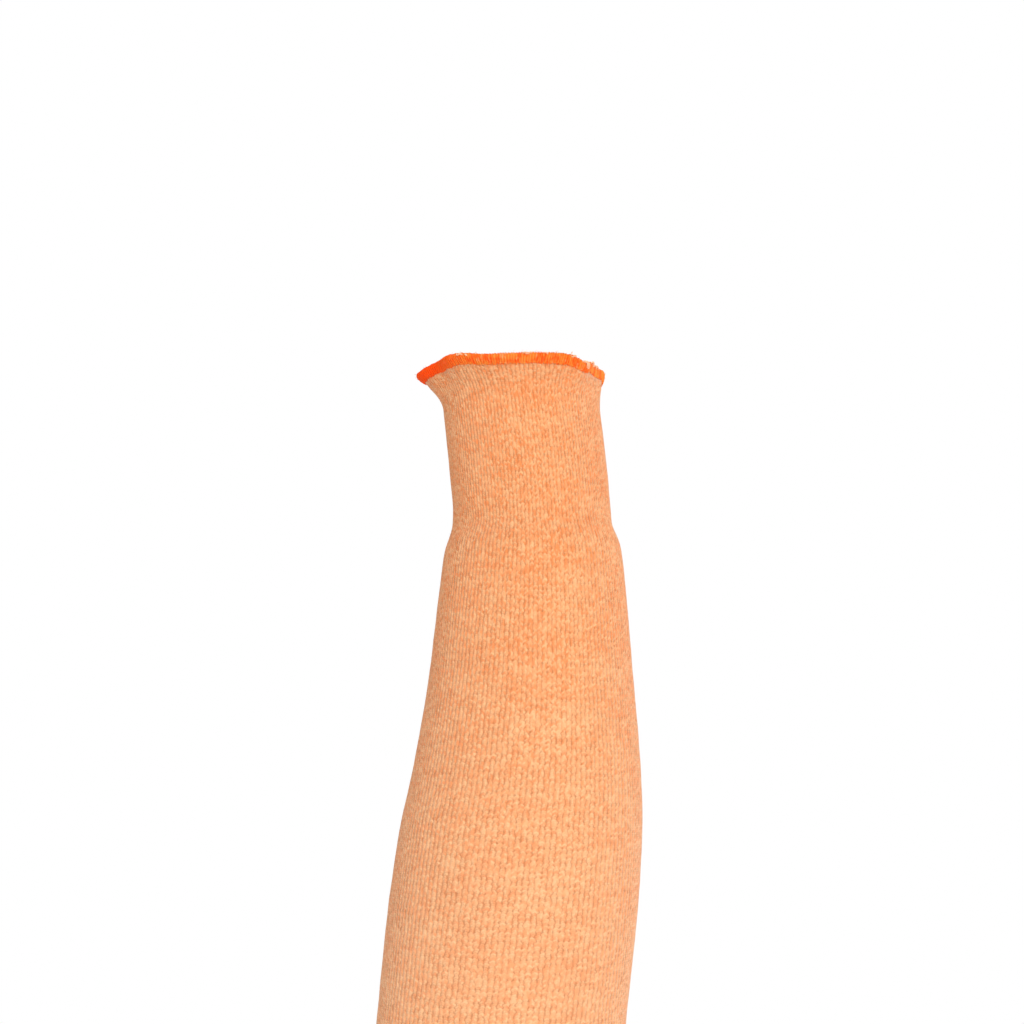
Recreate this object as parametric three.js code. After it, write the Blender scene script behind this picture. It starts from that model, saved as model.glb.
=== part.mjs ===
// A knitted cut resistant sleeve, standing open as it sits on an arm: a long tube that narrows
// to the wrist, where its edge flares out in soft ruffles, with an overlocked edge at each end.
// Millimetres, +Z up, towards the wrist. The origin is the middle of the arm opening.
// +X is the little finger's side and -Y the back of the hand.

import * as THREE from "three";

// Driving sizes, flareTurn in degrees
const sleeveLength = 457;
const armWidth = 126.5;
const neckWidth = 82;
const flareLength = 24;
const flareTurn = 36;
const bowSide = 28;
const bowBack = 8;
const knitWall = 1.4;
const pressedWall = 1;
const pressRamp = 3;
const threadWall = 0.7;
const overlockHeight = 6;
const foldDepth = 2.4;
const gap = 0.3;

// Facets round the sleeve
const facets = 60;

// The flare reaches its full lean at this share of its length, and is followed in this many steps
const leanShare = 0.7;
const flareSteps = 24;

// Length of the tube below the flare
const bodyLength = sleeveLength - flareLength;

// Sections of the tube from the arm opening up to where the flare starts. at is the share of
// bodyLength, neck runs from 0 at the arm's width to 1 at the neck's, flat is depth over width,
// side and back are shares of bowSide and bowBack, and rings is the number of rings up to the
// next section.
const sections = [
  { at: 0, neck: 0.12, flat: 0.88, side: 0, back: 0, rings: 1 },
  { at: 0.08, neck: 0.07, flat: 0.88, side: 0.12, back: 0.24, rings: 2 },
  { at: 0.285, neck: 0.031, flat: 0.9, side: 0.42, back: 0.8, rings: 2 },
  { at: 0.4, neck: 0, flat: 0.92, side: 0.607, back: 1, rings: 2 },
  { at: 0.49, neck: 0.054, flat: 0.93, side: 0.752, back: 0.96, rings: 2 },
  { at: 0.583, neck: 0.256, flat: 0.95, side: 0.889, back: 0.8, rings: 1 },
  { at: 0.677, neck: 0.483, flat: 0.97, side: 0.955, back: 0.56, rings: 1 },
  { at: 0.772, neck: 0.667, flat: 0.97, side: 0.984, back: 0.3, rings: 1 },
  { at: 0.828, neck: 0.795, flat: 0.97, side: 0.995, back: 0.16, rings: 2 },
  { at: 0.864, neck: 0.99, flat: 0.96, side: 0.975, back: 0.08, rings: 1 },
  { at: 0.916, neck: 1.009, flat: 0.95, side: 0.925, back: 0.02, rings: 2 },
  { at: 1, neck: 1.015, flat: 0.95, side: 0.79, back: 0, rings: 0 },
];

// Folds pressed into the tube, or raised where deep is below 0. turn is the angle in degrees
// from the middle of the front towards +X, spread its half width in degrees, at and tall are
// shares of bodyLength, and deep is the share of foldDepth.
const folds = [
  { turn: -46, spread: 26, at: 0.862, tall: 0.012, deep: 0.5 },
  { turn: 92, spread: 30, at: 0.846, tall: 0.01, deep: -0.25 },
  { turn: -88, spread: 24, at: 0.888, tall: 0.014, deep: 0.25 },
  { turn: 160, spread: 34, at: 0.868, tall: 0.014, deep: 0.5 },
];

// Ruffles of the flare. out is the angle in degrees by which the flare leans out, on top of
// flareTurn, and rise is the share of flareLength by which it is longer there.
const ruffles = [
  { turn: -84, spread: 15, out: 8, rise: 0.02 },
  { turn: -124, spread: 16, out: -14, rise: 0.1 },
  { turn: -60, spread: 8, out: -15, rise: -0.02 },
  { turn: -38, spread: 10, out: 0, rise: 0.1 },
  { turn: -10, spread: 16, out: 8, rise: 0.03 },
  { turn: 22, spread: 9, out: 4, rise: 0.02 },
  { turn: 44, spread: 6, out: 8, rise: -0.1 },
  { turn: 66, spread: 12, out: -26, rise: -0.14 },
  { turn: 98, spread: 12, out: -20, rise: -0.24 },
  { turn: 146, spread: 18, out: -4, rise: -0.04 },
  { turn: 190, spread: 14, out: -20, rise: 0.06 },
];

const radians = THREE.MathUtils.degToRad;

// One column of a table at a place between its rows, on a smooth curve that doesn't swing past
// the rows
function readSections(column, place) {
  const last = sections.length - 1;
  let row = 0;
  while (row < last - 1 && place > sections[row + 1].at) {
    row += 1;
  }
  const slope = (k) => {
    const from = sections[k];
    const to = sections[k + 1];
    return (to[column] - from[column]) / (to.at - from.at);
  };
  const tangent = (k) => {
    const before = slope(Math.max(k - 1, 0));
    const after = slope(Math.min(k, last - 1));
    return before * after > 0 ? (2 * before * after) / (before + after) : 0;
  };
  const span = sections[row + 1].at - sections[row].at;
  const t = (place - sections[row].at) / span;
  const start = sections[row][column];
  const rise = sections[row + 1][column] - start;
  const enter = tangent(row) * span;
  const leave = tangent(row + 1) * span;
  return start + t * (enter + t * (3 * rise - 2 * enter - leave + t * (enter + leave - 2 * rise)));
}

// A round bump of height 1 over an angle that wraps at a full turn
function bumpRound(turn, middle, spread) {
  const away = THREE.MathUtils.euclideanModulo(turn - middle + 180, 360) - 180;
  return Math.exp(-0.5 * (away / spread) ** 2);
}

// Sum of one column of the ruffles at an angle
function readRuffles(column, turn) {
  return ruffles.reduce((sum, row) => sum + row[column] * bumpRound(turn, row.turn, row.spread), 0);
}

// Middle of the knitted wall below the flare, at an angle in degrees and a height
function bodyPoint(turn, height) {
  const place = height / bodyLength;
  const width = armWidth + (neckWidth - armWidth) * readSections("neck", place);
  const halfWidth = (width - knitWall) / 2;
  const halfDepth = halfWidth * readSections("flat", place);
  const pressed = folds.reduce((sum, fold) => {
    const along = Math.exp(-0.5 * ((place - fold.at) / fold.tall) ** 2);
    return sum + fold.deep * foldDepth * along * bumpRound(turn, fold.turn, fold.spread);
  }, 0);
  return new THREE.Vector3(
    bowSide * readSections("side", place) + (halfWidth - pressed) * Math.sin(radians(turn)),
    bowBack * readSections("back", place) - (halfDepth - pressed) * Math.cos(radians(turn)),
    height,
  );
}

// Middle of the knitted wall at any length along the sleeve. The flare leaves the tube along the
// tube's own slope, bends outwards and then runs straight on to the edge.
function wallPoint(turn, length) {
  if (length <= bodyLength) {
    return bodyPoint(turn, length);
  }
  const start = bodyPoint(turn, bodyLength);
  const up = start.clone().sub(bodyPoint(turn, bodyLength - 1)).normalize();
  const out = new THREE.Vector3(Math.sin(radians(turn)), -Math.cos(radians(turn)), 0);
  out.addScaledVector(up, -out.dot(up)).normalize();
  const share = (length - bodyLength) / flareLength;
  const lean = radians(flareTurn + readRuffles("out", turn));
  const stride = ((length - bodyLength) * (1 + readRuffles("rise", turn))) / flareSteps;
  for (let step = 0; step < flareSteps; step += 1) {
    const at = (share * (step + 0.5)) / flareSteps;
    const slope = lean * Math.sin((Math.PI / 2) * Math.min(at / leanShare, 1));
    start.addScaledVector(out, stride * Math.sin(slope));
    start.addScaledVector(up, stride * Math.cos(slope));
  }
  return start;
}

// Way that the wall faces, outwards
function wallNormal(turn, length) {
  const round = wallPoint(turn + 1, length).sub(wallPoint(turn - 1, length));
  const along = wallPoint(turn, length + 1).sub(wallPoint(turn, length - 1));
  return round.cross(along).normalize();
}

// A solid ring swept round the sleeve. Its profile is a closed loop of points, each a length
// along the sleeve and an offset from the middle of the wall, outer side first and going up.
function ring(name, profile, look) {
  const places = [];
  const corners = [];
  profile.forEach((point, i) => {
    const next = ((i + 1) % profile.length) * facets;
    for (let j = 0; j < facets; j += 1) {
      const turn = (360 * j) / facets;
      const place = wallPoint(turn, point.length);
      place.addScaledVector(wallNormal(turn, point.length), point.offset);
      places.push(place.x, place.y, place.z);
      const here = i * facets;
      const beside = (j + 1) % facets;
      corners.push(here + j, here + beside, next + j);
      corners.push(next + j, here + beside, next + beside);
    }
  });
  const geometry = new THREE.BufferGeometry();
  geometry.setAttribute("position", new THREE.Float32BufferAttribute(places, 3));
  geometry.setIndex(corners);
  geometry.computeVertexNormals();
  const mesh = new THREE.Mesh(geometry, new THREE.MeshStandardMaterial(look));
  mesh.name = name;
  return mesh;
}

// The knitted tube: one wall, pressed thinner where the overlocks grip it
function knitTube() {
  const knitEdge = threadWall + gap;
  const pressedEnd = overlockHeight + pressRamp;
  const armRows = [knitEdge, overlockHeight / 2, overlockHeight, pressedEnd];
  const bodyRows = [];
  sections.forEach((section, i) => {
    for (let step = 0; step < section.rings; step += 1) {
      const share = section.at + ((sections[i + 1].at - section.at) * step) / section.rings;
      bodyRows.push(share * bodyLength);
    }
  });
  const flareFree = flareLength - pressedEnd;
  const flareRows = [bodyLength, bodyLength + flareFree / 3, bodyLength + (flareFree * 2) / 3];
  const wristRows = armRows.map((row) => sleeveLength - row).reverse();
  const middleRows = [...bodyRows, ...flareRows].filter((row) => row > pressedEnd);
  const lengths = [...armRows, ...middleRows, ...wristRows];
  const halfWall = (length) => {
    const fromEdge = Math.min(length, sleeveLength - length);
    return (fromEdge <= overlockHeight ? pressedWall : knitWall) / 2;
  };
  const outer = lengths.map((length) => ({ length, offset: halfWall(length) }));
  const inner = lengths.map((length) => ({ length, offset: -halfWall(length) })).reverse();
  return ring("knit_tube", [...outer, ...inner], { color: 0xf8b07c, roughness: 0.9, metalness: 0 });
}

// An overlock: thread wrapped over the knitted edge, with a leg on each side of the wall and a
// round crown over the edge. into is 1 where the sleeve goes up from the edge, and -1 where it
// goes down. depth runs into the sleeve from the crown.
function overlock(name, edge, into) {
  const near = pressedWall / 2 + gap;
  const far = near + threadWall;
  const crownSteps = 4;
  const steps = [
    { depth: overlockHeight, offset: far },
    { depth: overlockHeight / 2, offset: far },
  ];
  for (let step = 0; step <= crownSteps; step += 1) {
    const angle = (Math.PI * step) / crownSteps;
    steps.push({ depth: far * (1 - Math.sin(angle)), offset: far * Math.cos(angle) });
  }
  steps.push(
    { depth: overlockHeight / 2, offset: -far },
    { depth: overlockHeight, offset: -far },
    { depth: overlockHeight, offset: -near },
    { depth: overlockHeight / 2, offset: -near },
    { depth: threadWall, offset: -near },
    { depth: threadWall, offset: near },
    { depth: overlockHeight / 2, offset: near },
    { depth: overlockHeight, offset: near },
  );
  const profile = steps.map(({ depth, offset }) => ({ length: edge + into * depth, offset }));
  if (into > 0) {
    profile.reverse();
  }
  return ring(name, profile, { color: 0xfa7732, roughness: 0.8, metalness: 0 });
}

const sleeve = new THREE.Group();
sleeve.name = "cut_resistant_sleeve";
sleeve.add(knitTube());
sleeve.add(overlock("wrist_overlock", sleeveLength, -1));
sleeve.add(overlock("arm_overlock", 0, 1));

export default sleeve;
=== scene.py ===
"""Dresses the knitted arm sleeve: its orange and cream marl knit, the bright thread sewn over
both edges, and the loose yarn ends that stand up along the wrist edge."""

import math
import random

import bmesh
import bpy
import numpy as np
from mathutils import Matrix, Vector


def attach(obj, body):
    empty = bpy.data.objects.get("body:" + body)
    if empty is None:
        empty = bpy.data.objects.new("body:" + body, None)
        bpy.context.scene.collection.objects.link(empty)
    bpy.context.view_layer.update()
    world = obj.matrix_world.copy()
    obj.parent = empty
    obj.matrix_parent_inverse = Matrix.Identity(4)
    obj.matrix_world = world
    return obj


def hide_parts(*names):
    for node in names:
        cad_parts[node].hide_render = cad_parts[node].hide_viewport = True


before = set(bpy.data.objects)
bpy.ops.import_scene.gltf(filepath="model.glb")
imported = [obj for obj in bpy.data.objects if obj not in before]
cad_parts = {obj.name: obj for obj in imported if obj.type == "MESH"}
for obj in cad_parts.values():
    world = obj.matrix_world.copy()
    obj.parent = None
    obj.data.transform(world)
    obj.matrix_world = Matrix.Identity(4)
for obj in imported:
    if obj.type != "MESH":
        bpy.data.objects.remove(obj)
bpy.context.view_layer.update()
random.seed(7)

MM = 0.001

# Sizes of the sleeve in mm, the same as the solids'
SLEEVE_LENGTH = 457
ARM_WIDTH = 126.5
NECK_WIDTH = 82
FLARE_LENGTH = 24
BOW_SIDE = 28
BOW_BACK = 8
KNIT_WALL = 1.4
PRESSED_WALL = 1
PRESS_RAMP = 3
THREAD_WALL = 0.7
OVERLOCK_HEIGHT = 6
FOLD_DEPTH = 2.4
GAP = 0.3
FLARE_TURN = 36
BODY_LENGTH = SLEEVE_LENGTH - FLARE_LENGTH

# The flare reaches its full lean at this share of its length, and is followed in this many steps
LEAN_SHARE = 0.7
FLARE_STEPS = 24

# Stitches of the knit: wales stand side by side round the sleeve, courses follow each other
# along it
WALES = 134
COURSE_HEIGHT = 1.12
RIB_DEPTH = 0.42

# Between these two courses the knit grows paler towards the arm, as it is stretched wider
WRIST_COURSE = 0.85 * SLEEVE_LENGTH / COURSE_HEIGHT
ARM_COURSE = 0.25 * SLEEVE_LENGTH / COURSE_HEIGHT

# Sections of the tube below the flare: share of BODY_LENGTH, share of the way from the arm's
# width to the neck's, depth over width, shares of BOW_SIDE and BOW_BACK
SECTION_COLUMNS = ("at", "neck", "flat", "side", "back")
SECTIONS = (
    (0, 0.12, 0.88, 0, 0),
    (0.08, 0.07, 0.88, 0.12, 0.24),
    (0.285, 0.031, 0.9, 0.42, 0.8),
    (0.4, 0, 0.92, 0.607, 1),
    (0.49, 0.054, 0.93, 0.752, 0.96),
    (0.583, 0.256, 0.95, 0.889, 0.8),
    (0.677, 0.483, 0.97, 0.955, 0.56),
    (0.772, 0.667, 0.97, 0.984, 0.3),
    (0.828, 0.795, 0.97, 0.995, 0.16),
    (0.864, 0.99, 0.96, 0.975, 0.08),
    (0.916, 1.009, 0.95, 0.925, 0.02),
    (1, 1.015, 0.95, 0.79, 0),
)

# Folds of the tube: middle and half width in degrees, middle and half height as shares of
# BODY_LENGTH, share of FOLD_DEPTH
FOLD_COLUMNS = ("turn", "spread", "at", "tall", "deep")
FOLDS = (
    (-46, 26, 0.862, 0.012, 0.5),
    (92, 30, 0.846, 0.01, -0.25),
    (-88, 24, 0.888, 0.014, 0.25),
    (160, 34, 0.868, 0.014, 0.5),
)

# Ruffles of the flare: middle and half width in degrees, degrees by which it leans out on top of
# FLARE_TURN, share of FLARE_LENGTH by which it is longer
RUFFLE_COLUMNS = ("turn", "spread", "out", "rise")
RUFFLES = (
    (-84, 15, 8, 0.02),
    (-124, 16, -14, 0.1),
    (-60, 8, -15, -0.02),
    (-38, 10, 0, 0.1),
    (-10, 16, 8, 0.03),
    (22, 9, 4, 0.02),
    (44, 6, 8, -0.1),
    (66, 12, -26, -0.14),
    (98, 12, -20, -0.24),
    (146, 18, -4, -0.04),
    (190, 14, -20, 0.06),
)


def rows_of(names, table):
    """A table's rows as dictionaries with named columns."""
    return [dict(zip(names, row)) for row in table]


def read_sections(name, place):
    """One column of the sections at places between its rows, on a smooth curve that doesn't
    swing past the rows."""
    rows = rows_of(SECTION_COLUMNS, SECTIONS)
    places = np.array([row["at"] for row in rows], float)
    values = np.array([row[name] for row in rows], float)
    slopes = np.diff(values) / np.diff(places)
    before = np.concatenate([slopes[:1], slopes])
    after = np.concatenate([slopes, slopes[-1:]])
    same_way = before * after > 0
    total = np.where(same_way, before + after, 1)
    tangents = np.where(same_way, 2 * before * after / total, 0)
    row = np.clip(np.searchsorted(places, place, side="right") - 1, 0, len(rows) - 2)
    span = places[row + 1] - places[row]
    t = (place - places[row]) / span
    start = values[row]
    rise = values[row + 1] - start
    enter = tangents[row] * span
    leave = tangents[row + 1] * span
    return start + t * (enter + t * (3 * rise - 2 * enter - leave + t * (enter + leave - 2 * rise)))


def bump_round(turn, middle, spread):
    """A round bump of height 1 over an angle that wraps at a full turn."""
    away = np.mod(turn - middle + 180, 360) - 180
    return np.exp(-0.5 * (away / spread) ** 2)


def read_ruffles(name, turn):
    """Sum of one column of the ruffles at an angle."""
    rows = rows_of(RUFFLE_COLUMNS, RUFFLES)
    return sum(row[name] * bump_round(turn, row["turn"], row["spread"]) for row in rows)


def body_point(turn, height):
    """Middle of the knitted wall below the flare, in mm."""
    place = height / BODY_LENGTH
    width = ARM_WIDTH + (NECK_WIDTH - ARM_WIDTH) * read_sections("neck", place)
    half_width = (width - KNIT_WALL) / 2
    half_depth = half_width * read_sections("flat", place)
    pressed = 0
    for fold in rows_of(FOLD_COLUMNS, FOLDS):
        along = np.exp(-0.5 * ((place - fold["at"]) / fold["tall"]) ** 2)
        across = bump_round(turn, fold["turn"], fold["spread"])
        pressed = pressed + fold["deep"] * FOLD_DEPTH * along * across
    angle = np.radians(turn)
    x = BOW_SIDE * read_sections("side", place) + (half_width - pressed) * np.sin(angle)
    y = BOW_BACK * read_sections("back", place) - (half_depth - pressed) * np.cos(angle)
    return np.stack([x, y, height + 0 * angle], axis=-1)


def unit(vectors):
    """Vectors scaled to a length of 1."""
    return vectors / np.linalg.norm(vectors, axis=-1, keepdims=True)


def wall_point(turn, length):
    """Middle of the knitted wall at any length along the sleeve, in mm. The flare leaves the
    tube along its slope, bends outwards and then runs straight on to the edge."""
    below = body_point(turn, np.minimum(length, BODY_LENGTH))
    top = np.full_like(length, BODY_LENGTH)
    start = body_point(turn, top)
    up = unit(start - body_point(turn, top - 1))
    angle = np.radians(turn)
    out = np.stack([np.sin(angle), -np.cos(angle), 0 * angle], axis=-1)
    out = unit(out - up * np.sum(out * up, axis=-1, keepdims=True))
    share = np.maximum(length - BODY_LENGTH, 0) / FLARE_LENGTH
    lean = np.radians(FLARE_TURN + read_ruffles("out", turn))
    stride = share * FLARE_LENGTH * (1 + read_ruffles("rise", turn)) / FLARE_STEPS
    outwards = 0
    upwards = 0
    for step in range(FLARE_STEPS):
        at = share * (step + 0.5) / FLARE_STEPS
        slope = lean * np.sin(math.pi / 2 * np.minimum(at / LEAN_SHARE, 1))
        outwards = outwards + stride * np.sin(slope)
        upwards = upwards + stride * np.cos(slope)
    flare = start + outwards[..., None] * out + upwards[..., None] * up
    return np.where((length <= BODY_LENGTH)[..., None], below, flare)


def wall_normal(turn, length):
    """Way that the wall faces, outwards."""
    around = wall_point(turn + 1, length) - wall_point(turn - 1, length)
    along = wall_point(turn, length + 1) - wall_point(turn, length - 1)
    return unit(np.cross(around, along))


def on_sleeve(turn, length, offset):
    """Carries places on the flat cloth to the worn sleeve, in metres: the angle in degrees from
    the middle of the front, the length along the sleeve and the offset from the wall's middle
    in mm."""
    places = [np.asarray(values, float) for values in (turn, length, offset)]
    turn, length, offset = np.broadcast_arrays(*places)
    return (wall_point(turn, length) + wall_normal(turn, length) * offset[..., None]) * MM


def smooth_noise(place, seed, waves=5):
    """A gentle wander from -1 to 1, the same each run, whose waves are about one unit long."""
    rng = np.random.default_rng(seed)
    total = 0
    for _ in range(waves):
        total = total + np.sin(place * rng.uniform(2.5, 8) + rng.uniform(0, math.tau))
    return total / waves


def new_piece(name, mesh, materials):
    """Puts a finished mesh in the scene as a piece of the sleeve."""
    piece = bpy.data.objects.new(name, mesh)
    bpy.context.scene.collection.objects.link(piece)
    for material in materials:
        mesh.materials.append(material)
    mesh.polygons.foreach_set("use_smooth", [True] * len(mesh.polygons))
    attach(piece, "root")
    return piece


def closed_ring(name, columns, profile, relief=None, inside_from=None):
    """A flat grid bent round the sleeve into one closed wall. The profile is a loop of places,
    each a length along the sleeve and an offset in mm, outer side first and going up. relief
    adds to the offset. Rows of the profile from inside_from on take the second material."""
    rows = len(profile)
    bm = bmesh.new()
    bm.loops.layers.uv.new("knit")
    bmesh.ops.create_grid(bm, x_segments=columns, y_segments=rows, size=0.5, calc_uvs=True)
    if inside_from is not None:
        for face in bm.faces:
            row = (face.calc_center_median().y + 0.5) * rows
            face.material_index = int(row > inside_from)
    mesh = bpy.data.meshes.new(name)
    bm.to_mesh(mesh)
    bm.free()
    flat = np.zeros(len(mesh.vertices) * 3)
    mesh.vertices.foreach_get("co", flat)
    flat = flat.reshape(-1, 3)
    across = flat[:, 0] + 0.5
    column = np.rint(across * columns).astype(int)
    row = np.rint((flat[:, 1] + 0.5) * rows).astype(int)
    loop = np.array(list(profile) + [profile[0]], float)
    turn = across * 360 - 180
    length = loop[row % rows, 0]
    offset = loop[row % rows, 1]
    if relief is not None:
        turn, offset = relief(turn, length, offset, column)
    mesh.vertices.foreach_set("co", on_sleeve(turn, length, offset).ravel())
    corner = np.zeros(len(mesh.loops), int)
    mesh.loops.foreach_get("vertex_index", corner)
    stitch = np.stack([across * WALES, length / COURSE_HEIGHT], axis=-1)[corner]
    mesh.uv_layers["knit"].data.foreach_set("uv", stitch.ravel())
    edge = (column == 0) | (column == columns) | (row == 0) | (row == rows)
    bm = bmesh.new()
    bm.from_mesh(mesh)
    bm.verts.ensure_lookup_table()
    seam = [bm.verts[i] for i in np.flatnonzero(edge)]
    bmesh.ops.remove_doubles(bm, verts=seam, dist=0.01 * MM)
    bmesh.ops.recalc_face_normals(bm, faces=bm.faces)
    bm.to_mesh(mesh)
    bm.free()
    return mesh


def thread_mesh(name, paths, radius, sides=6, closed=False):
    """Round threads along paths of points, in metres, fused in one mesh."""
    curve = bpy.data.curves.new(name, "CURVE")
    curve.dimensions = "3D"
    curve.bevel_depth = radius * MM
    curve.bevel_resolution = (sides - 4) // 2
    curve.use_fill_caps = True
    for path in paths:
        spline = curve.splines.new("POLY")
        spline.points.add(len(path) - 1)
        spline.points.foreach_set("co", np.column_stack([path, np.ones(len(path))]).ravel())
        spline.use_cyclic_u = closed
    holder = bpy.data.objects.new(name, curve)
    bpy.context.scene.collection.objects.link(holder)
    bpy.context.view_layer.update()
    shown = holder.evaluated_get(bpy.context.evaluated_depsgraph_get())
    mesh = bpy.data.meshes.new_from_object(shown)
    mesh.name = name
    mesh.materials.clear()
    bpy.data.objects.remove(holder)
    bpy.data.curves.remove(curve)
    return mesh


# Node helpers


def put(tree, socket, value):
    """Sets a socket, or links it where the value is another node's output."""
    if isinstance(value, bpy.types.NodeSocket):
        tree.links.new(value, socket)
    else:
        socket.default_value = value


def calc(tree, operation, *values):
    """One step of arithmetic."""
    node = tree.nodes.new("ShaderNodeMath")
    node.operation = operation
    for socket, value in zip(node.inputs, values):
        put(tree, socket, value)
    return node.outputs[0]


def blend_colors(tree, factor, first, second):
    """The first colour where the factor is 0 and the second where it is 1."""
    node = tree.nodes.new("ShaderNodeMix")
    node.data_type = "RGBA"
    put(tree, node.inputs[0], factor)
    put(tree, node.inputs[6], first)
    put(tree, node.inputs[7], second)
    return node.outputs[2]


def ramp(tree, value, low, high, to_low=0.0, to_high=1.0, smooth=True):
    """Carries a value from one range to another, held at the ends."""
    node = tree.nodes.new("ShaderNodeMapRange")
    node.interpolation_type = "SMOOTHSTEP" if smooth else "LINEAR"
    for socket, setting in zip(node.inputs, (value, low, high, to_low, to_high)):
        put(tree, socket, setting)
    return node.outputs[0]


def vector(tree, x, y, z):
    """Three values as one place."""
    node = tree.nodes.new("ShaderNodeCombineXYZ")
    for socket, value in zip(node.inputs, (x, y, z)):
        put(tree, socket, value)
    return node.outputs[0]


def noise(tree, place, scale, detail=2.0):
    """Soft random tones from 0 to 1."""
    node = tree.nodes.new("ShaderNodeTexNoise")
    put(tree, node.inputs["Vector"], place)
    put(tree, node.inputs["Scale"], scale)
    node.inputs["Detail"].default_value = detail
    return node.outputs["Fac"]


def white_noise(tree, place):
    """A random number for each place, with no likeness between neighbours."""
    node = tree.nodes.new("ShaderNodeTexWhiteNoise")
    node.noise_dimensions = "3D"
    put(tree, node.inputs["Vector"], place)
    return node.outputs["Value"]


def new_group(name, takes, gives):
    """A shader node group with named inputs (name, kind, default) and outputs (name, kind)."""
    group = bpy.data.node_groups.new(name, "ShaderNodeTree")
    for label, kind, default in takes:
        socket = group.interface.new_socket(label, in_out="INPUT", socket_type=kind)
        socket.default_value = default
    for label, kind in gives:
        group.interface.new_socket(label, in_out="OUTPUT", socket_type=kind)
    entry = group.nodes.new("NodeGroupInput")
    leave = group.nodes.new("NodeGroupOutput")
    return group, entry.outputs, leave.inputs


def use_group(tree, group, settings):
    """Places a group in a material with its own values."""
    node = tree.nodes.new("ShaderNodeGroup")
    node.node_tree = group
    for name, value in settings.items():
        put(tree, node.inputs[name], value)
    return node.outputs


def color(red, green, blue):
    """An sRGB colour from 0 to 255 as the linear colour that a socket takes."""
    parts = [c / 255 for c in (red, green, blue)]
    return [c / 12.92 if c <= 0.04045 else ((c + 0.055) / 1.055) ** 2.4 for c in parts] + [1]


# Pattern of the knit: how far the wales' lines waver sideways and along the sleeve, in stitches,
# the size of the marl's flecks, and how much flecks, single legs and clouds change its mix
SIDEWAYS_WAVER = 0.8
SLOW_WAVER = 2.2
QUICK_WAVER = 0.5
FLECK_SPREAD = 1.1
COURSE_SPREAD = 4.3
FLECK_WEIGHT = 1.1
LEG_WEIGHT = 1.05
CLOUD_WEIGHT = 0.75
PALEST_STRETCH = 0.25


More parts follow.
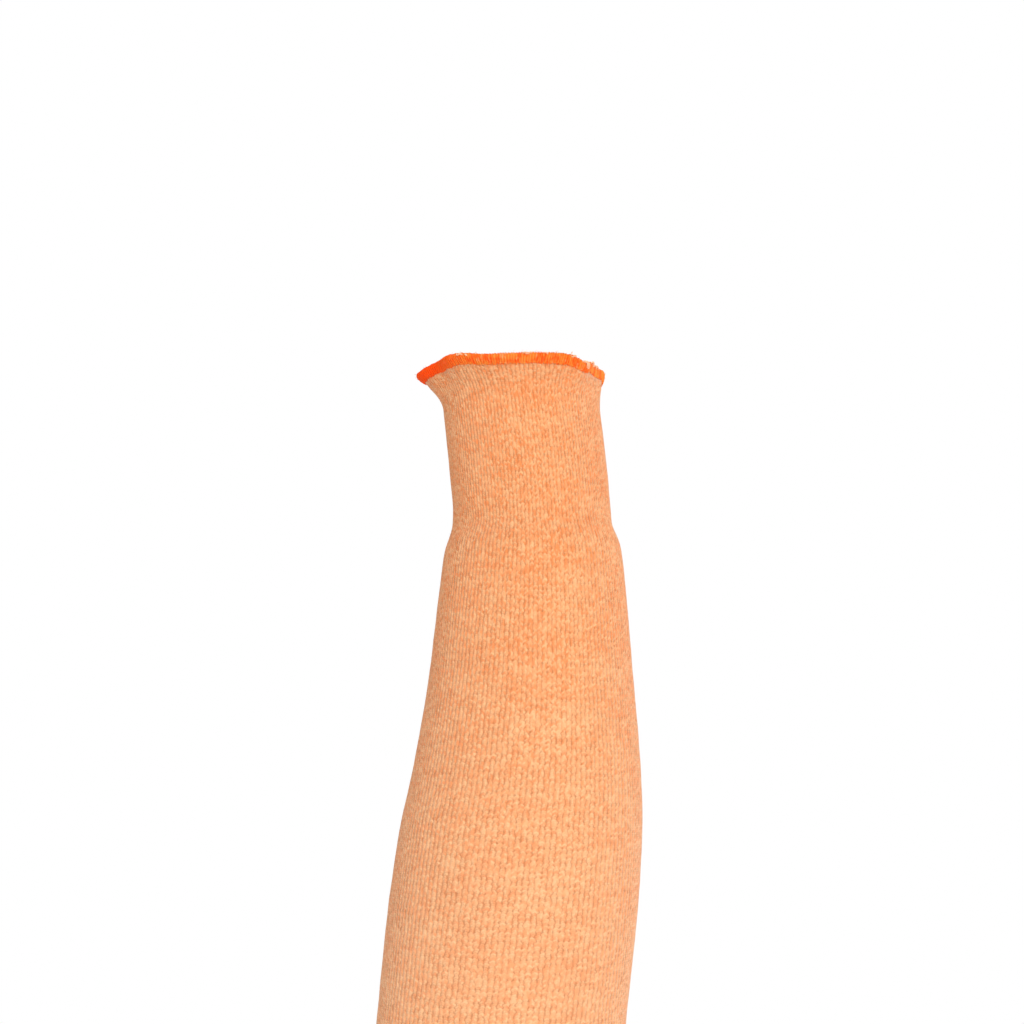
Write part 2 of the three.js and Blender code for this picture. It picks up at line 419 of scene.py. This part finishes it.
def jersey_group():
    """The face of a plain knit in marl yarn. It reads the stitch map: one unit is one wale
    across and one course up. Each wale is a ridge of V stitches, whose two legs lean outwards,
    with a groove between wales. Two yarn colours mix in flecks that run along each course, and
    shade is painted into the grooves and pits between stitches."""
    color_kind, float_kind = "NodeSocketColor", "NodeSocketFloat"
    takes = (
        ("Light Yarn", color_kind, (1, 1, 1, 1)),
        ("Bright Yarn", color_kind, (1, 1, 1, 1)),
        # Colour of the painted shade in the grooves and pits
        ("Painted Groove Shade", color_kind, (1, 1, 1, 1)),
        ("Stretched", color_kind, (1, 1, 1, 1)),
        ("Marl", float_kind, 0.5),
        # How strongly that painted shade darkens the grooves and pits
        ("Painted Shade Strength", float_kind, 0.6),
        ("Lean", float_kind, 1.1),
    )
    gives = (("Color", color_kind), ("Height", float_kind))
    group, given, result = new_group("jersey stitches", takes, gives)
    stitch_map = group.nodes.new("ShaderNodeUVMap")
    stitch_map.uv_map = "knit"
    split = group.nodes.new("ShaderNodeSeparateXYZ")
    group.links.new(stitch_map.outputs[0], split.inputs[0])
    wales, courses = split.outputs[0], split.outputs[1]

    # Wale and course that a place lies in, both wavering a little
    angle = calc(group, "MULTIPLY", wales, math.tau / WALES)
    radius = WALES / math.tau
    east = calc(group, "MULTIPLY", calc(group, "SINE", angle), radius)
    north = calc(group, "MULTIPLY", calc(group, "COSINE", angle), radius)
    round_place = vector(group, east, north, courses)
    drift = calc(group, "SUBTRACT", noise(group, round_place, 0.06, 1.0), 0.5)
    jitter = calc(group, "SUBTRACT", noise(group, round_place, 0.8, 1.0), 0.5)
    across = calc(group, "ADD", wales, calc(group, "MULTIPLY", jitter, SIDEWAYS_WAVER))
    from_middle = calc(group, "SUBTRACT", calc(group, "FRACT", across), 0.5)
    reach = calc(group, "MULTIPLY", calc(group, "ABSOLUTE", from_middle), 2.0)
    lean = calc(group, "MULTIPLY", reach, given["Lean"])
    slow = calc(group, "MULTIPLY", drift, SLOW_WAVER)
    quick = calc(group, "MULTIPLY", jitter, QUICK_WAVER)
    waver = calc(group, "ADD", slow, quick)
    along = calc(group, "ADD", calc(group, "ADD", courses, waver), lean)
    in_course = calc(group, "FRACT", along)
    wale = calc(group, "FLOOR", across)
    course = calc(group, "FLOOR", along)

    # Relief: a round ridge on each wale, parted a little in its middle, and a swell on each leg
    ridge = ramp(group, reach, 1.0, 0.35)
    parting = ramp(group, reach, 0.22, 0.0)
    swell = calc(group, "SINE", calc(group, "MULTIPLY", in_course, math.pi))
    swell = calc(group, "POWER", swell, 0.7)
    parted = calc(group, "SUBTRACT", 1.0, calc(group, "MULTIPLY", parting, 0.3))
    leg = calc(group, "MULTIPLY", parted, ridge)
    swollen = calc(group, "ADD", calc(group, "MULTIPLY", swell, 0.8), 0.2)
    height = calc(group, "MULTIPLY", leg, swollen)

    # Marl: flecks about a stitch wide in each course, single legs and soft clouds
    fleck_place = vector(group, calc(group, "MULTIPLY", east, FLECK_SPREAD),
                         calc(group, "MULTIPLY", north, FLECK_SPREAD),
                         calc(group, "MULTIPLY", course, COURSE_SPREAD))
    flecks = noise(group, fleck_place, 1.0, 0.0)
    half = calc(group, "GREATER_THAN", from_middle, 0.0)
    leg_dice = white_noise(group, vector(group, wale, course, half))
    # Random strength of the painted shade in each stitch's pit
    shade_dice = white_noise(group, vector(group, wale, course, 5.0))
    clouds = noise(group, round_place, 0.07, 3.0)
    mixed = given["Marl"]
    for part, weight in ((flecks, FLECK_WEIGHT), (leg_dice, LEG_WEIGHT), (clouds, CLOUD_WEIGHT)):
        share = calc(group, "MULTIPLY", calc(group, "SUBTRACT", part, 0.5), weight)
        mixed = calc(group, "ADD", mixed, share)
    marl = ramp(group, mixed, 0.0, 1.0, smooth=False)
    yarn = blend_colors(group, marl, given["Light Yarn"], given["Bright Yarn"])
    wide = ramp(group, courses, WRIST_COURSE, ARM_COURSE, 0.0, PALEST_STRETCH)
    yarn = blend_colors(group, wide, yarn, given["Stretched"])

    # Painted shade in the grooves and pits, deeper at some stitches than at others
    groove_shade = calc(group, "MULTIPLY", calc(group, "SUBTRACT", 1.0, height), given["Painted Shade Strength"])
    pit_shade = calc(group, "ADD", calc(group, "MULTIPLY", shade_dice, 1.5), 0.25)
    groove_shade = calc(group, "MULTIPLY", groove_shade, pit_shade)
    group.links.new(blend_colors(group, groove_shade, yarn, given["Painted Groove Shade"]), result["Color"])
    group.links.new(height, result["Height"])
    return group


def fibre_group():
    """Threads of a soft edge, from the place on the object: tones that change from thread to
    thread round the edge, pale glints towards +X, where the edge is worn, and fine fibres."""
    color_kind, float_kind = "NodeSocketColor", "NodeSocketFloat"
    takes = (
        ("Thread", color_kind, (1, 1, 1, 1)),
        ("Shade", color_kind, (1, 1, 1, 1)),
        ("Glint", color_kind, (1, 1, 1, 1)),
        ("Patch", float_kind, 260.0),
    )
    gives = (("Color", color_kind), ("Height", float_kind))
    group, given, result = new_group("thread fibres", takes, gives)
    place = group.nodes.new("ShaderNodeTexCoord").outputs["Object"]
    side = group.nodes.new("ShaderNodeSeparateXYZ")
    group.links.new(place, side.inputs[0])
    stretched = vector(group, side.outputs[0], side.outputs[1],
                       calc(group, "MULTIPLY", side.outputs[2], 0.25))
    patch = noise(group, stretched, given["Patch"])
    fine = noise(group, place, 2600.0)
    worn = ramp(group, side.outputs[0], -0.025, 0.0)
    shaded = ramp(group, patch, 0.38, 0.62, 0.0, 0.75)
    shaded = calc(group, "MAXIMUM", shaded, calc(group, "SUBTRACT", 1.0, worn))
    base = blend_colors(group, shaded, given["Thread"], given["Shade"])
    glint = ramp(group, noise(group, stretched, 600.0, 1.0), 0.58, 0.75)
    glint = calc(group, "MULTIPLY", calc(group, "MULTIPLY", glint, 0.5), worn)
    tinted = blend_colors(group, glint, base, given["Glint"])
    group.links.new(tinted, result["Color"])
    group.links.new(fine, result["Height"])
    return group


jersey = jersey_group()
fibres = fibre_group()


FIBRE_ROUGHNESS = 0.92
FIBRE_GLOSS = 0.15
SHEEN_ROUGHNESS = 0.4


def cloth_material(name, group, bump, bump_height, sheen, settings):
    """A matt fibre surface whose colour and relief come from a group. bump_height is in mm."""
    material = bpy.data.materials.new(name)
    material.use_nodes = True
    tree = material.node_tree
    shader = tree.nodes["Principled BSDF"]
    outputs = use_group(tree, group, settings)
    tree.links.new(outputs["Color"], shader.inputs["Base Color"])
    relief = tree.nodes.new("ShaderNodeBump")
    relief.inputs["Strength"].default_value = bump
    relief.inputs["Distance"].default_value = bump_height * MM
    tree.links.new(outputs["Height"], relief.inputs["Height"])
    tree.links.new(relief.outputs[0], shader.inputs["Normal"])
    shader.inputs["Roughness"].default_value = FIBRE_ROUGHNESS
    shader.inputs["Specular IOR Level"].default_value = FIBRE_GLOSS
    shader.inputs["Sheen Weight"].default_value = sheen
    shader.inputs["Sheen Roughness"].default_value = SHEEN_ROUGHNESS
    return material


def thread_material(name, thread, shade, glint, patch, sheen=0.1):
    """A sewing thread or a yarn. patch is how many changes of tone there are to a metre."""
    settings = {"Thread": color(*thread), "Shade": color(*shade), "Glint": color(*glint),
                "Patch": patch}
    return cloth_material(name, fibres, bump=0.3, bump_height=0.1, sheen=sheen, settings=settings)


# The groove colours of both sides are painted shade in the grooves between wales
knit_face = cloth_material(
    "marl knit", jersey, bump=0.6, bump_height=0.35, sheen=0.4,
    settings={"Light Yarn": color(247, 186, 134), "Bright Yarn": color(242, 146, 86),
              "Painted Groove Shade": color(176, 100, 54), "Stretched": color(246, 208, 168), "Marl": 0.47,
              "Painted Shade Strength": 0.43, "Lean": 0.8},
)
knit_back = cloth_material(
    "marl knit, inner side", jersey, bump=0.5, bump_height=0.3, sheen=0.3,
    settings={"Light Yarn": color(244, 182, 130), "Bright Yarn": color(234, 136, 78),
              "Painted Groove Shade": color(170, 90, 44), "Stretched": color(244, 200, 158), "Marl": 0.5,
              "Painted Shade Strength": 0.35, "Lean": 0.15},
)
edge_thread = thread_material(
    "bright overlock thread", (248, 142, 54), (252, 84, 6), (252, 184, 124), patch=420.0
)
edge_bed = thread_material(
    "overlock bed", (246, 128, 44), (248, 78, 6), (250, 156, 90), patch=420.0
)
edge_hairs = thread_material(
    "edge hairs", (250, 130, 84), (248, 96, 70), (252, 196, 170), patch=500.0
)
loose_yarn = thread_material(
    "loose cream yarn", (250, 198, 156), (248, 168, 120), (252, 226, 204), patch=500.0, sheen=0.15
)

# Knitted tube

# Each wale is one rib, and this is its height at each column of the mesh across it
RIB_SHAPE = np.array([0.0, 0.72, 1.0, 0.72])
RIB_COLUMNS = len(RIB_SHAPE)
INNER_RINGS = 22


def knit_profile():
    """Places of the knitted wall's rings: up the outer side, close together where the sleeve
    turns, and down the inner side."""
    edge = THREAD_WALL + GAP
    top = SLEEVE_LENGTH - edge
    pressed = OVERLOCK_HEIGHT + PRESS_RAMP
    neck_start = 0.8 * BODY_LENGTH
    neck_end = 0.92 * BODY_LENGTH
    stops = (
        (edge, pressed, 3),
        (pressed, neck_start, 70),
        (neck_start, neck_end, 28),
        (neck_end, BODY_LENGTH, 10),
        (BODY_LENGTH, top, 16),
    )
    inner_middle = 0.82 * BODY_LENGTH
    outer = [np.linspace(low, high, count, endpoint=False) for low, high, count in stops]
    outer = np.concatenate(outer + [[top]])
    inner = np.concatenate([np.linspace(top, inner_middle, INNER_RINGS, endpoint=False),
                            np.linspace(inner_middle, edge, INNER_RINGS)])

    def half_wall(length):
        from_edge = np.minimum(length, SLEEVE_LENGTH - length)
        full = np.clip((from_edge - OVERLOCK_HEIGHT) / PRESS_RAMP, 0, 1)
        return (PRESSED_WALL + (KNIT_WALL - PRESSED_WALL) * full) / 2

    up = [(length, half_wall(length)) for length in outer]
    down = [(length, -half_wall(length)) for length in inner]
    return up + down, len(up)


def rib_relief(turn, length, offset, column):
    """Raises the wales on the outer side and lets their lines wander a little."""
    from_edge = np.minimum(length, SLEEVE_LENGTH - length)
    free = np.clip((from_edge - OVERLOCK_HEIGHT) / PRESS_RAMP, 0.25, 1)
    outside = offset > 0
    rib = RIB_SHAPE[column % RIB_COLUMNS] * RIB_DEPTH * free
    wander = 0.22 * smooth_noise(length / 24, 3) + 0.12 * smooth_noise(length / 9, 4)
    soft = 0.15 * smooth_noise(length / 16 + 2 * np.sin(np.radians(turn)), 5)
    rise = rib - RIB_DEPTH / 2 + soft
    return turn + wander * free, offset + np.where(outside, rise, soft) * free


profile, outer_rows = knit_profile()
knit_mesh = closed_ring("knit_tube_cloth", WALES * RIB_COLUMNS, profile, rib_relief,
                        inside_from=outer_rows - 0.5)
knit = new_piece("knit_cloth", knit_mesh, [knit_face, knit_back])
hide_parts("knit_tube")

# Overlocked edges

NEAR = PRESSED_WALL / 2 + GAP
FAR = NEAR + THREAD_WALL
SKIN = PRESSED_WALL / 2
BED_OFFSET = FAR - 0.45
BED_COLUMNS = 240
LOOP_RADIUS = 0.45
LOOP_SPACING = 1.3
LOOP_FOOT = SKIN + 0.12
NEEDLE_RADIUS = 0.3
NEEDLE_STITCH = 2.6

# Height of one needle stitch above the knit at each of its points, in mm
STITCH_SHAPE = np.array([0.5, 0.62, 0.5, 0.1])


def foot_depth(turn):
    """Depth of the overlock's foot round the edge, which wanders a little."""
    return OVERLOCK_HEIGHT - 0.2 + 0.35 * smooth_noise(np.asarray(turn, float) / 11, 21)


def bed_profile(edge, into):
    """Loop of places of the thread bed that wraps over an edge and thins out to its foot."""
    bed = BED_OFFSET
    foot = OVERLOCK_HEIGHT - 0.5
    side = [(foot, SKIN + 0.1), (foot - 1.2, SKIN + 0.4), (foot - 2.4, bed), (foot * 0.3, bed)]
    steps = list(side)
    for angle in np.linspace(0, math.pi, 9):
        steps.append((0.4 + bed * (1 - math.sin(angle)), bed * math.cos(angle)))
    steps += [(depth, -offset) for depth, offset in reversed(side)]
    steps += [(foot, -SKIN + 0.1), (THREAD_WALL, -SKIN + 0.1)]
    steps += [(THREAD_WALL, SKIN - 0.1), (foot, SKIN - 0.1)]
    places = [(edge + into * depth, offset) for depth, offset in steps]
    return places[::-1] if into > 0 else places


def overlock(name, edge, into, around):
    """The bed, the loops of thread over it and the line of needle stitches at its foot. around
    is the edge's length in mm, which sets how many loops there are."""
    bed = closed_ring(name + "_bed", BED_COLUMNS, bed_profile(edge, into))
    pieces = [new_piece(name + "_bed", bed, [edge_bed])]

    loops = round(around / LOOP_SPACING)
    step = 360 / loops
    arc = np.linspace(0, math.pi, 7)
    paths = []
    for k in range(loops):
        middle = (k + 0.5 + random.uniform(-0.14, 0.14)) * step
        foot = foot_depth(middle) + random.uniform(-0.25, 0.25)
        back_foot = foot_depth(middle) + random.uniform(-0.4, 0.4)
        reach = FAR - LOOP_RADIUS + random.uniform(-0.1, 0.1)
        crown = LOOP_RADIUS + random.uniform(-0.2, 0.15)
        depth = np.concatenate([[foot, foot - 0.9, foot - 2.2, foot * 0.38],
                                crown + reach * (1 - np.sin(arc)),
                                [back_foot * 0.4, back_foot - 1.6, back_foot]])
        offset = np.concatenate([[LOOP_FOOT, LOOP_FOOT + 0.22, reach, reach],
                                 reach * np.cos(arc),
                                 [-reach, -reach, -LOOP_FOOT]])
        slant = random.uniform(0.15, 0.5) * step
        turn = middle + slant * np.linspace(-1, 1, len(depth))
        paths.append(on_sleeve(turn, edge + into * depth, offset))
    threads = thread_mesh(name + "_loops", paths, LOOP_RADIUS)
    pieces.append(new_piece(name + "_loops", threads, [edge_thread]))

    points = round(around / NEEDLE_STITCH) * len(STITCH_SHAPE)
    turn = np.linspace(0, 360, points, endpoint=False)
    rise = STITCH_SHAPE[np.arange(points) % len(STITCH_SHAPE)] + SKIN
    depth = foot_depth(turn) - 0.9
    lines = [on_sleeve(turn, edge + into * depth, side * rise) for side in (1, -1)]
    line = thread_mesh(name + "_needle_line", lines, NEEDLE_RADIUS, closed=True)
    pieces.append(new_piece(name + "_needle_line", line, [edge_thread]))
    return pieces


def edge_length(length):
    """Length round the wall at one place along the sleeve, in mm."""
    turn = np.linspace(0, 360, 361)
    steps = np.diff(wall_point(turn, np.full_like(turn, length)), axis=0)
    return np.linalg.norm(steps, axis=1).sum()


wrist_edge = overlock("wrist_overlock_thread", SLEEVE_LENGTH, -1, edge_length(SLEEVE_LENGTH))
arm_edge = overlock("arm_overlock_thread", 0, 1, edge_length(0))
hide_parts("wrist_overlock")
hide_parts("arm_overlock")

# Loose yarn ends

# Tufts along the wrist edge: angle in degrees, height above the edge and radius in mm, how far
# the ends lean round the edge in degrees, how far they run down the outer side in mm, and how
# many there are
TUFT_COLUMNS = ("turn", "tall", "thick", "lean", "run", "count")
TUFTS = (
    (-36, 0.4, 0.4, 1, 0.3, 1),
    (-33, 0.7, 0.42, -1, 0.3, 1),
    (-29, 0.3, 0.38, 1, 0.3, 1),
    (2, 1.4, 0.13, 3, 0.4, 4),
    (8, 1.1, 0.13, -3, 0.4, 4),
    (14, 0.9, 0.13, 2, 0.4, 3),
    (31, 2.4, 0.14, -1, 0.3, 1),
    (34, 0.9, 0.24, -3, 0.8, 3),
    (41, 0.9, 0.42, 4, 2.6, 3),
    (48, 0.7, 0.36, 3, 1.2, 2),
    (57, 0.7, 0.32, 3, 1.8, 3),
    (66, 0.6, 0.34, 3, 1.4, 2),
    (118, 0.4, 0.2, 3, 1.8, 2),
    (152, 0.3, 0.18, -3, 1.4, 2),
    (180, 0.5, 0.2, -4, 2.0, 2),
    (214, 0.3, 0.18, 3, 1.6, 2),
    (250, 0.4, 0.2, 2, 1.8, 2),
)


def yarn_end(turn, tall, lean, run):
    """Path of one loose end that comes up through the thread, over the edge, and lies down
    along its outer side. run is how far down it reaches, in mm."""
    t = np.linspace(0, 1, 8)
    over = np.clip(t / 0.45, 0, 1) * math.pi / 2
    down = np.clip((t - 0.45) / 0.55, 0, 1)
    depth = 0.9 - (0.9 + tall) * np.sin(over) + (run + tall) * down ** 1.3
    offset = FAR * (0.1 + 0.95 * np.sin(over * 0.6)) + 0.25 * np.sin(down * math.pi) + 0.1
    return on_sleeve(turn + lean * t, SLEEVE_LENGTH - depth, offset)


def loose_ends():
    """The tufts of loose yarn along the wrist edge, in one piece."""
    by_thickness = {}
    for tuft in rows_of(TUFT_COLUMNS, TUFTS):
        for _ in range(tuft["count"]):
            turn = tuft["turn"] + random.uniform(-1.2, 1.2)
            tall = tuft["tall"] * random.uniform(0.5, 1.1)
            lean = tuft["lean"] + random.uniform(-1, 1)
            path = yarn_end(turn, tall, lean, tuft["run"] * random.uniform(0.7, 1.2))
            by_thickness.setdefault(tuft["thick"], []).append(path)
    bm = bmesh.new()
    for thick, paths in by_thickness.items():
        part = thread_mesh("loose_ends_part", paths, thick)
        bm.from_mesh(part)
        bpy.data.meshes.remove(part)
    mesh = bpy.data.meshes.new("loose_yarn_ends")
    bm.to_mesh(mesh)
    bm.free()
    return new_piece("loose_yarn_ends", mesh, [loose_yarn])


HAIRS = 380
HAIR_RADIUS = 0.05


def edge_fuzz():
    """Short fine hairs that stand off the thread along the wrist edge."""
    paths = []
    for _ in range(HAIRS):
        turn = random.uniform(0, 360)
        depth = random.uniform(-0.2, 3.5)
        side = random.choice((-1, 1))
        start = np.array([turn, SLEEVE_LENGTH - depth, side * FAR * 0.7])
        swing = np.array([random.uniform(-2, 2), random.uniform(0.1, 1.2),
                          side * random.uniform(0.2, 1)])
        t = np.linspace(0, 1, 4)[:, None]
        bent = start + swing * t + np.array([random.uniform(-1, 1), -0.3, 0]) * t ** 2
        paths.append(on_sleeve(bent[:, 0], bent[:, 1], bent[:, 2]))
    mesh = thread_mesh("edge_fuzz", paths, HAIR_RADIUS, sides=4)
    return new_piece("edge_fuzz", mesh, [edge_hairs])


ends = loose_ends()
fuzz = edge_fuzz()

# Studio

FLOOR_RADIUS = 0.9
FLOOR_HEIGHT = -0.4 * MM
AMBIENT = 0.4
LIGHT_SIZE = 1.2
MIDDLE = (0.017, 0, 0.26)

# Soft lights: name, place in metres and power in watts
LIGHTS = (
    ("key", (0.6, -1.7, 0.8), 22.5),
    ("left side", (-1.4, -1.1, 0.5), 9),
    ("right side", (1.6, -0.5, 0.5), 6),
    ("back light", (0.2, 1.8, 0.9), 20),
)


def floor_and_backdrop():
    """A pale round floor, and a white world that looks brighter than it lights."""
    bm = bmesh.new()
    bmesh.ops.create_circle(bm, cap_ends=True, segments=96, radius=FLOOR_RADIUS)
    bmesh.ops.translate(bm, verts=bm.verts, vec=(0, 0, FLOOR_HEIGHT))
    mesh = bpy.data.meshes.new("floor")
    bm.to_mesh(mesh)
    bm.free()
    floor = bpy.data.objects.new("floor", mesh)
    bpy.context.scene.collection.objects.link(floor)
    material = bpy.data.materials.new("pale floor")
    material.use_nodes = True
    shader = material.node_tree.nodes["Principled BSDF"]
    shader.inputs["Base Color"].default_value = color(250, 250, 250)
    shader.inputs["Roughness"].default_value = 0.9
    mesh.materials.append(material)

    world = bpy.data.worlds.new("white studio")
    bpy.context.scene.world = world
    world.use_nodes = True
    tree = world.node_tree
    lit = tree.nodes["Background"]
    lit.inputs["Color"].default_value = (1, 1, 1, 1)
    lit.inputs["Strength"].default_value = AMBIENT
    seen = tree.nodes.new("ShaderNodeBackground")
    seen.inputs["Color"].default_value = (1, 1, 1, 1)
    seen.inputs["Strength"].default_value = 1.0
    choose = tree.nodes.new("ShaderNodeMixShader")
    ray = tree.nodes.new("ShaderNodeLightPath")
    tree.links.new(ray.outputs["Is Camera Ray"], choose.inputs[0])
    tree.links.new(lit.outputs[0], choose.inputs[1])
    tree.links.new(seen.outputs[0], choose.inputs[2])
    tree.links.new(choose.outputs[0], tree.nodes["World Output"].inputs["Surface"])


def soft_light(name, place, power):
    """A round lamp that faces the middle of the sleeve."""
    light = bpy.data.lights.new(name, "AREA")
    light.shape = "DISK"
    light.size = LIGHT_SIZE
    light.energy = power
    lamp = bpy.data.objects.new(name, light)
    lamp.location = place
    lamp.rotation_euler = (Vector(MIDDLE) - Vector(place)).to_track_quat("-Z", "Y").to_euler()
    bpy.context.scene.collection.objects.link(lamp)


floor_and_backdrop()
for light_name, light_place, light_power in LIGHTS:
    soft_light(light_name, light_place, light_power)

# Camera: a 70 mm lens that looks up at the wrist end by 8 degrees

CAMERA_LENS = 70
CAMERA_DISTANCE = 1.032
CAMERA_TILT = math.radians(8)
CAMERA_AIM = Vector((0.017, 0, 0.380))

camera_data = bpy.data.cameras.new("camera")
camera_data.lens = CAMERA_LENS
camera = bpy.data.objects.new("camera", camera_data)
looking = Vector((0, math.cos(CAMERA_TILT), math.sin(CAMERA_TILT)))
camera.location = CAMERA_AIM - looking * CAMERA_DISTANCE
camera.rotation_euler = (math.pi / 2 + CAMERA_TILT, 0, 0)
bpy.context.scene.collection.objects.link(camera)
bpy.context.scene.camera = camera
bpy.context.scene.view_settings.view_transform = "Standard"
